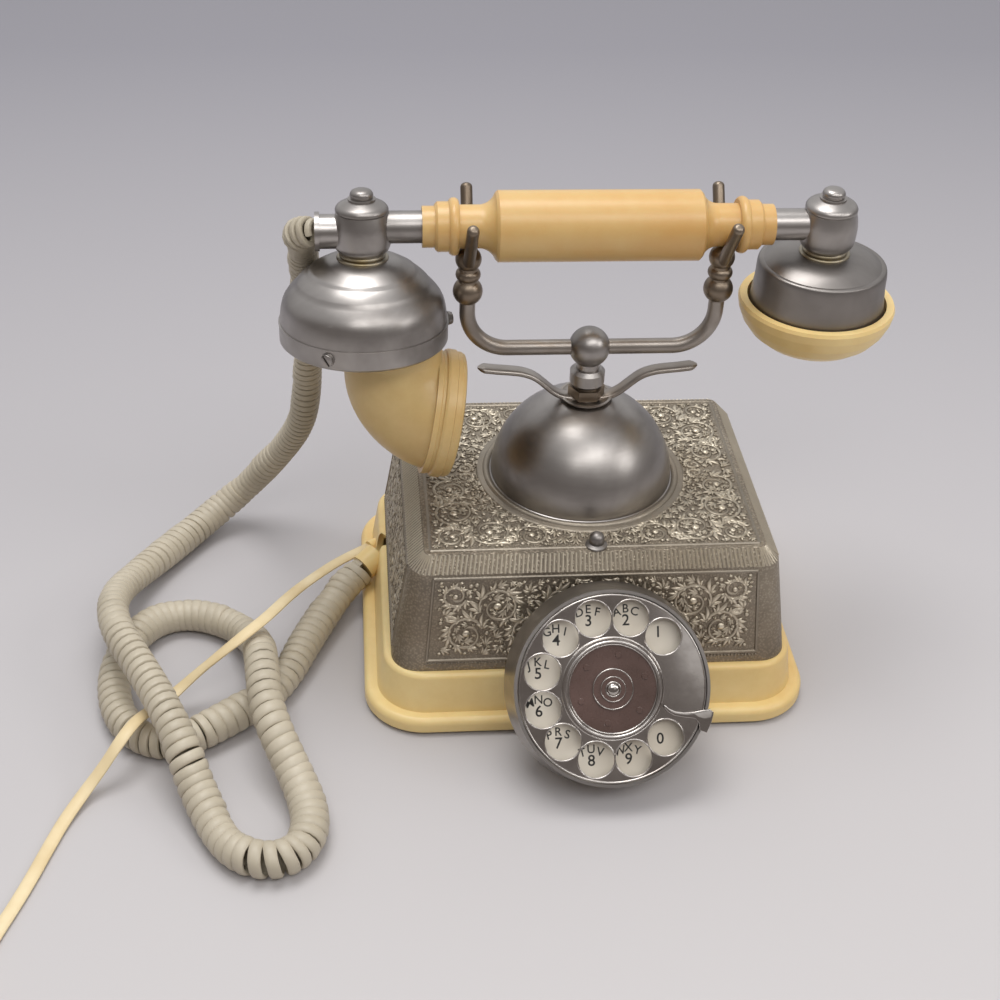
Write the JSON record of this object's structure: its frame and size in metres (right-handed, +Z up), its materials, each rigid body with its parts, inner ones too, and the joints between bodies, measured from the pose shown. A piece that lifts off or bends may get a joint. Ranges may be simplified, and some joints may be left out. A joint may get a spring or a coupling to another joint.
{
  "type": "rotary telephone",
  "caption": "Antique-style desk telephone: cream plinth, cast relief housing with dome, sprung cradle, horn handset, tilted finger dial, curly and line cords.",
  "frame": {"origin": "on the surface that the telephone stands on, under the axis of the dome and of the cradle's plunger", "axes": "+X to the right (receiver side), +Y to the back, +Z up; the dial faces -Y"},
  "size_m": [0.4359, 0.3345, 0.2152],
  "materials": {
    "felt": "felt",
    "plate_steel": "zinc plated",
    "ivory": "yellowed ivory, satin",
    "handle_ivory": "yellowed ivory, deeper, satin",
    "cast_relief": "antique pewter with bronze high spots",
    "nickel": "worn nickel",
    "chrome": "polished",
    "bronze": "antique brown",
    "brass": "plain",
    "black": "moulded",
    "copper": "enamelled wire",
    "dial_cream": "enamel",
    "card_brown": "card",
    "cord_grey": "warm grey vinyl",
    "cord_cream": "cream vinyl",
    "clear": "clear plastic"
  },
  "bodies": {
    "base": {"base_pad": "felt", "base_plate": "plate_steel", "base_plinth": "ivory", "case_screws": "plate_steel", "housing": "cast_relief", "panel_screw": "nickel", "dome_cover": "nickel", "wing_bracket": "nickel", "neck_nut": "bronze", "neck_sleeve": "nickel", "switch_bracket": "plate_steel", "switch_contacts": "brass", "plunger_spring": "plate_steel", "dial_drum": "nickel", "dial_mount": "cast_relief", "number_plate": "dial_cream", "finger_stop": "chrome", "dial_plate": "plate_steel", "dial_contacts": "brass", "dial_return_spring": "plate_steel", "ringer_frame": "plate_steel", "ringer_coils": "copper", "gong_left": "brass", "gong_right": "brass", "network_box": "black", "cord_grommets": "black", "curly_cord": "cord_grey", "line_cord": "cord_cream", "line_cord_coil": "cord_cream", "plug_body": "clear"},
    "cradle": {"cradle_yoke": "nickel", "cradle_ball": "nickel", "fork_left": "bronze", "fork_right": "bronze", "plunger_rod": "nickel"},
    "hook_lever_body": {"hook_lever": "plate_steel"},
    "finger_wheel_body": {"finger_wheel": "chrome", "card_ring": "chrome", "card_disc": "card_brown", "wheel_screw": "chrome", "dial_shaft": "plate_steel", "main_gear": "brass"},
    "pulse_cam_body": {"pulse_cam": "brass"},
    "governor_body": {"governor": "brass"},
    "clapper_body": {"clapper": "brass"},
    "handset": {"handle_barrel": "handle_ivory", "handle_end_left": "handle_ivory", "handle_end_right": "handle_ivory", "handset_tube": "nickel", "knuckle_left": "nickel", "knuckle_right": "nickel", "cap_nuts": "nickel", "transmitter_cup": "nickel", "transmitter_band": "nickel", "band_screws": "nickel", "mouthpiece_horn": "ivory", "transmitter_capsule": "black", "receiver_shell": "nickel", "ear_cap": "ivory", "receiver_capsule": "black"}
  },
  "joints": [
    {"name": "handset_lift", "type": "slide", "parent": "base", "child": "handset", "axis": [0, -0.5707, 0.8212], "range_m": [0, 0.12], "deforming": ["curly_cord"]},
    {"name": "cradle_rise", "type": "slide", "parent": "base", "child": "cradle", "axis": [0, 0, 1], "range_m": [0, 0.006], "stiffness_N_per_m": 300, "springref_m": 0.007, "deforming": ["plunger_spring"]},
    {"name": "hook_lever_turn", "type": "hinge", "parent": "base", "child": "hook_lever_body", "pos_m": [0.02, 0, 0.034], "axis": [0, 1, 0], "range_deg": [0, 16.2]},
    {"name": "finger_wheel_turn", "type": "hinge", "parent": "base", "child": "finger_wheel_body", "pos_m": [0.0024, -0.1037, 0.046], "axis": [0, 0.8192, -0.5736], "range_deg": [0, 335], "stiffness_Nm_per_rad": 0.02},
    {"name": "pulse_cam_spin", "type": "hinge", "parent": "base", "child": "pulse_cam_body", "pos_m": [-0.01722, -0.08737, 0.04839], "axis": [0, 0.8192, -0.5736], "range_deg": [-1340, 0]},
    {"name": "governor_spin", "type": "hinge", "parent": "base", "child": "governor_body", "pos_m": [0.0024, -0.10635, 0.0213], "axis": [0, 0.8192, -0.5736], "range_deg": [-1675, 0]},
    {"name": "clapper_swing", "type": "hinge", "parent": "base", "child": "clapper_body", "pos_m": [0, 0.033, 0.0145], "axis": [0, 0, 1], "range_deg": [-6.5, 6.5], "stiffness_Nm_per_rad": 0.001}
  ],
  "couplings": [
    {"joint": "cradle_rise", "follows": "handset_lift", "ratio": 0.05},
    {"joint": "hook_lever_turn", "follows": "handset_lift", "rad_per_m": 2.33},
    {"joint": "pulse_cam_spin", "follows": "finger_wheel_turn", "ratio": -4},
    {"joint": "governor_spin", "follows": "finger_wheel_turn", "ratio": -5}
  ]
}
